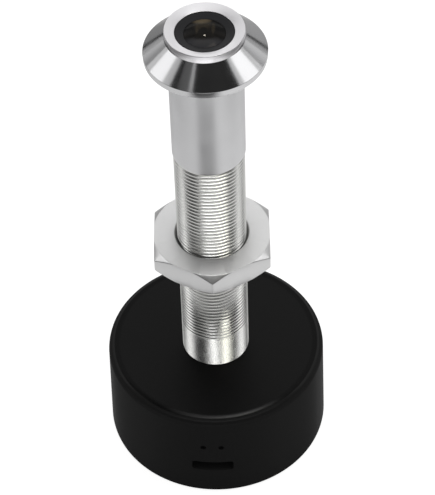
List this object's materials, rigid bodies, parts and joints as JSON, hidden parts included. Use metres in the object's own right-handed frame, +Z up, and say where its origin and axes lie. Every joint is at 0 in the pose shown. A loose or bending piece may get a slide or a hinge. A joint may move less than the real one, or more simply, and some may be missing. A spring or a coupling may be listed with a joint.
{
  "type": "peephole door camera",
  "caption": "Door viewer camera: a flanged lens head on a smooth sleeve, a threaded tube with a clamping hex nut, and a round housing with a charging port.",
  "frame": {"origin": "middle of the housing's foot, on the surface that the camera stands on", "axes": "+Z up the barrel to the lens, -Y out of the charging port"},
  "size_m": [0.05, 0.05, 0.1187],
  "materials": {
    "bezel_chrome": "polished plating",
    "sleeve_satin": "fine satin",
    "tube_steel": "bright, cut thread",
    "nut_steel": "bright, fine turned",
    "lens_glass": "coated",
    "filter_glass": "tinted",
    "lens_black": "satin black",
    "seal_rubber": "matte",
    "chip_black": "matte",
    "board_green": "lacquered",
    "screw_steel": "plated",
    "connector_ivory": "matte",
    "flex_amber": "thin film",
    "housing_black": "fine moulded texture",
    "shield_tin": "tin plated",
    "ferrite_grey": "matte",
    "led_clear": "clear moulded",
    "plunger_grey": "matte",
    "battery_foil": "foil pouch",
    "lead_red": "smooth"
  },
  "bodies": {
    "camera": {"threaded_tube": "tube_steel", "front_lens": "lens_glass", "second_lens": "lens_glass", "third_lens": "lens_glass", "rear_lens": "lens_glass", "aperture_stop": "lens_black", "lens_spacer": "lens_black", "lens_barrel": "lens_black", "lens_seal": "seal_rubber", "lens_holder": "lens_black", "ir_filter": "filter_glass", "image_sensor": "chip_black", "sensor_board": "board_green", "sensor_screws": "screw_steel", "sensor_connector": "connector_ivory", "sensor_flex": "flex_amber", "housing": "housing_black", "rear_cover": "housing_black", "barrel_washer": "screw_steel", "barrel_nut": "screw_steel", "main_board": "board_green", "board_screws": "screw_steel", "wifi_shield": "shield_tin", "chip_antenna": "connector_ivory", "processor_chip": "chip_black", "memory_chip": "chip_black", "power_inductor": "ferrite_grey", "crystal": "shield_tin", "regulator_chip": "chip_black", "charger_chip": "chip_black", "capacitors": "connector_ivory", "flex_connector": "connector_ivory", "usb_shell": "shield_tin", "usb_tongue": "chip_black", "status_led": "led_clear", "reset_switch": "chip_black", "battery": "battery_foil", "battery_protection": "board_green", "battery_pad": "seal_rubber", "battery_connector": "connector_ivory", "battery_leads": "lead_red"},
    "head": {"front_bezel": "bezel_chrome", "outer_sleeve": "sleeve_satin"},
    "nut": {"clamp_nut": "nut_steel"},
    "reset_button": {"reset_plunger": "plunger_grey"}
  },
  "joints": [
    {"name": "nut_travel", "type": "slide", "parent": "camera", "child": "nut", "axis": [0, 0, 1], "range_m": [-0.0245, 0.0249]},
    {"name": "head_unscrew", "type": "slide", "parent": "camera", "child": "head", "axis": [0, 0, 1], "range_m": [0, 0.04]},
    {"name": "reset_press", "type": "slide", "parent": "camera", "child": "reset_button", "axis": [0, 1, 0], "range_m": [0, 0.0003], "stiffness_N_per_m": 1000}
  ]
}
